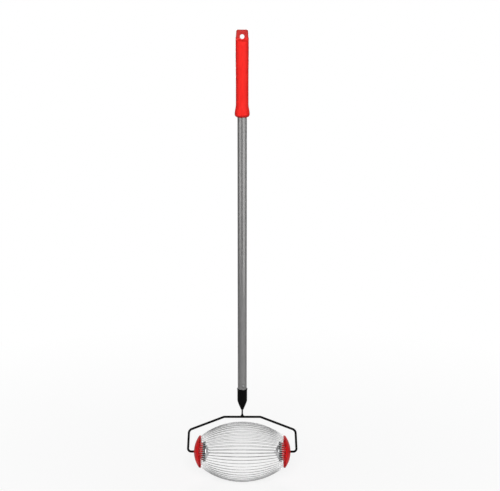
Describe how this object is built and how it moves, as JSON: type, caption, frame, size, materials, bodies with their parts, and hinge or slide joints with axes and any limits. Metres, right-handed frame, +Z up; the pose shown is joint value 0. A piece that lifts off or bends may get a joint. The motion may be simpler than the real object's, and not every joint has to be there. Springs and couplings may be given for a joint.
{
  "type": "rolling nut gatherer",
  "caption": "Long-handled rolling nut gatherer: an oval cage of bowed spring wires spins between domed end caps in a bent rod yoke, on a tube handle with a moulded grip.",
  "frame": {"origin": "on the ground under the middle of the cage, in line with the handle", "axes": "+Z up the handle, X along the cage's axle, -Y towards the front seen in the picture"},
  "size_m": [0.3162, 0.169, 1.265],
  "materials": {
    "red_grip": "smooth moulded red plastic",
    "red_cap": "smooth moulded dark red plastic",
    "grey_pole": "satin grey coating on steel tube",
    "black_plastic": "moulded black plastic",
    "black_paint": "satin black paint on steel",
    "bright_wire": "bright drawn spring wire",
    "zinc": "zinc-plated steel"
  },
  "bodies": {
    "handle": {"grip": "red_grip", "pole": "grey_pole", "ferrule": "black_plastic", "ferrule_rivet": "zinc", "tang": "black_paint", "yoke": "black_paint", "button_spring": "zinc", "axle_washers": "zinc", "push_nuts": "zinc"},
    "cage": {"left_cap": "red_cap", "right_cap": "red_cap", "left_wire_plate": "red_cap", "right_wire_plate": "red_cap", "left_hub": "black_plastic", "right_hub": "black_plastic", "wire_pair_01": "bright_wire", "wire_pair_02": "bright_wire", "wire_pair_03": "bright_wire", "wire_pair_04": "bright_wire", "wire_pair_05": "bright_wire", "wire_pair_06": "bright_wire", "wire_pair_07": "bright_wire", "wire_pair_08": "bright_wire", "wire_pair_09": "bright_wire", "wire_pair_10": "bright_wire", "wire_pair_11": "bright_wire", "wire_pair_12": "bright_wire", "wire_pair_13": "bright_wire", "wire_pair_14": "bright_wire", "wire_pair_15": "bright_wire", "wire_pair_16": "bright_wire", "wire_pair_17": "bright_wire", "wire_pair_18": "bright_wire", "wire_pair_19": "bright_wire", "wire_pair_20": "bright_wire", "wire_pair_21": "bright_wire", "wire_pair_22": "bright_wire", "wire_pair_23": "bright_wire", "wire_pair_24": "bright_wire", "wire_pair_25": "bright_wire", "wire_pair_26": "bright_wire"},
    "button": {"snap_button": "zinc"}
  },
  "joints": [
    {"name": "cage_spin", "type": "hinge", "parent": "handle", "child": "cage", "pos_m": [0, 0, 0.0845], "axis": [1, 0, 0], "continuous": true},
    {"name": "button_press", "type": "slide", "parent": "handle", "child": "button", "axis": [-0.2419, 0.9703, 0], "range_m": [0, 0.0042], "stiffness_N_per_m": 1500, "springref_m": -0.002, "deforming": ["button_spring"]}
  ]
}
